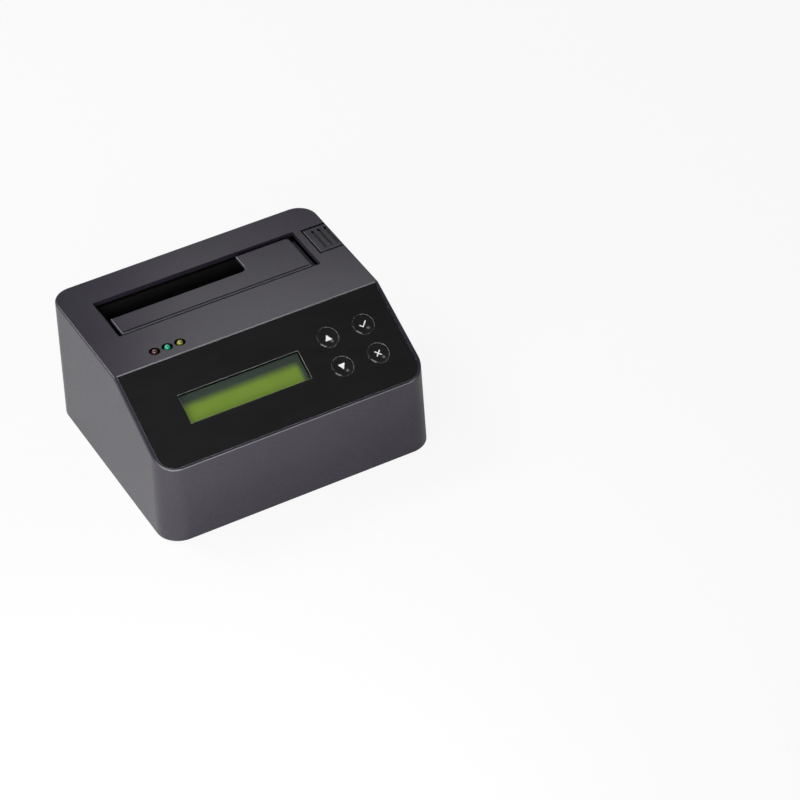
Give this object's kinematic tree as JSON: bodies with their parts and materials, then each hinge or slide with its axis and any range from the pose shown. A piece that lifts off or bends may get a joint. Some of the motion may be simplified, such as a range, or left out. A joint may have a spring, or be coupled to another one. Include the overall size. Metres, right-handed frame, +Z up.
{
  "type": "hard drive eraser dock",
  "caption": "Desktop dock that wipes a bare SATA drive: top slot with a notched sprung flap, eject button, and a sloped panel with a display and round keys.",
  "frame": {"origin": "centre of the footprint at the height of the table, under the feet", "axes": "+X to the right and along the width, -Y towards the sloped control panel, +Z up"},
  "size_m": [0.145, 0.126, 0.071],
  "materials": {
    "housing_plastic": "fine satin texture",
    "flap_plastic": "fine satin texture",
    "button_plastic": "fine satin texture",
    "panel_gloss": "polished",
    "key_plastic": "polished",
    "clear_lens": "clear",
    "display": "polarised, yellow-green",
    "backlight": "translucent",
    "lamp_red": "tinted, unlit",
    "lamp_green": "tinted, lit low",
    "lamp_yellow": "tinted, unlit",
    "inner_plastic": "moulded",
    "connector_plastic": "moulded",
    "socket_blue": "moulded",
    "circuit_board": "solder mask",
    "steel": "zinc plated",
    "bright_metal": "nickel plated",
    "frame_metal": "black, satin",
    "can_metal": "bare can",
    "contact_gold": "gold plated",
    "ribbon": "flat cable",
    "foot_rubber": "matt"
  },
  "bodies": {
    "chassis": {"top_housing": "housing_plastic", "base_cover": "housing_plastic", "front_panel": "panel_gloss", "lcd_window": "clear_lens", "lcd_glass": "display", "lcd_backlight": "backlight", "led_red": "lamp_red", "led_green": "lamp_green", "led_yellow": "lamp_yellow", "bay_frame": "inner_plastic", "sata_receptacle": "connector_plastic", "dc_jack": "connector_plastic", "power_switch": "connector_plastic", "ribbon_headers": "connector_plastic", "key_switches": "connector_plastic", "controller_chip": "connector_plastic", "buzzer": "connector_plastic", "usb_insert": "socket_blue", "main_board": "circuit_board", "control_board": "circuit_board", "led_board": "circuit_board", "lcd_board": "circuit_board", "flap_hinge_pin": "steel", "flap_spring": "steel", "eject_spring": "steel", "ejector_pin": "steel", "base_screws": "steel", "bay_screws": "steel", "board_screws": "steel", "inner_screws": "steel", "usb_shell": "bright_metal", "dc_jack_pin": "bright_metal", "lcd_frame": "frame_metal", "capacitors": "can_metal", "sata_contacts": "contact_gold", "lcd_ribbon": "ribbon", "key_ribbon": "ribbon", "led_ribbon": "ribbon", "foot_front_left": "foot_rubber", "foot_front_right": "foot_rubber", "foot_rear_left": "foot_rubber", "foot_rear_right": "foot_rubber"},
    "flap": {"drive_flap": "flap_plastic"},
    "eject": {"eject_button": "button_plastic", "eject_clip": "steel"},
    "ejector": {"ejector_lever": "inner_plastic"},
    "rocker": {"power_rocker": "connector_plastic"},
    "up_key": {"key_up": "key_plastic"},
    "down_key": {"key_down": "key_plastic"},
    "ok_key": {"key_ok": "key_plastic"},
    "escape_key": {"key_escape": "key_plastic"}
  },
  "joints": [
    {"name": "flap_swing", "type": "hinge", "parent": "chassis", "child": "flap", "pos_m": [0, 0.0122, 0.065], "axis": [-1, 0, 0], "range_deg": [0, 88], "stiffness_Nm_per_rad": 0.01, "springref_deg": -34.38, "deforming": ["flap_spring"]},
    {"name": "eject_press", "type": "slide", "parent": "chassis", "child": "eject", "axis": [0, 0, -1], "range_m": [0, 0.006], "stiffness_N_per_m": 400, "springref_m": -0.006, "deforming": ["eject_spring"]},
    {"name": "ejector_rock", "type": "hinge", "parent": "chassis", "child": "ejector", "pos_m": [0.036, 0.033, 0.0145], "axis": [0, 1, 0], "range_deg": [0, 14]},
    {"name": "power_tip", "type": "hinge", "parent": "chassis", "child": "rocker", "pos_m": [0.02, 0.057, 0.0166], "axis": [0, 0, -1], "range_deg": [0, 20]},
    {"name": "up_key_press", "type": "slide", "parent": "chassis", "child": "up_key", "axis": [0, 0.4695, -0.8829], "range_m": [0, 0.0006], "stiffness_N_per_m": 800, "springref_m": -0.0006},
    {"name": "down_key_press", "type": "slide", "parent": "chassis", "child": "down_key", "axis": [0, 0.4695, -0.8829], "range_m": [0, 0.0006], "stiffness_N_per_m": 800, "springref_m": -0.0006},
    {"name": "ok_key_press", "type": "slide", "parent": "chassis", "child": "ok_key", "axis": [0, 0.4695, -0.8829], "range_m": [0, 0.0006], "stiffness_N_per_m": 800, "springref_m": -0.0006},
    {"name": "escape_key_press", "type": "slide", "parent": "chassis", "child": "escape_key", "axis": [0, 0.4695, -0.8829], "range_m": [0, 0.0006], "stiffness_N_per_m": 800, "springref_m": -0.0006}
  ],
  "couplings": [
    {"joint": "ejector_rock", "follows": "eject_press", "rad_per_m": 38}
  ]
}
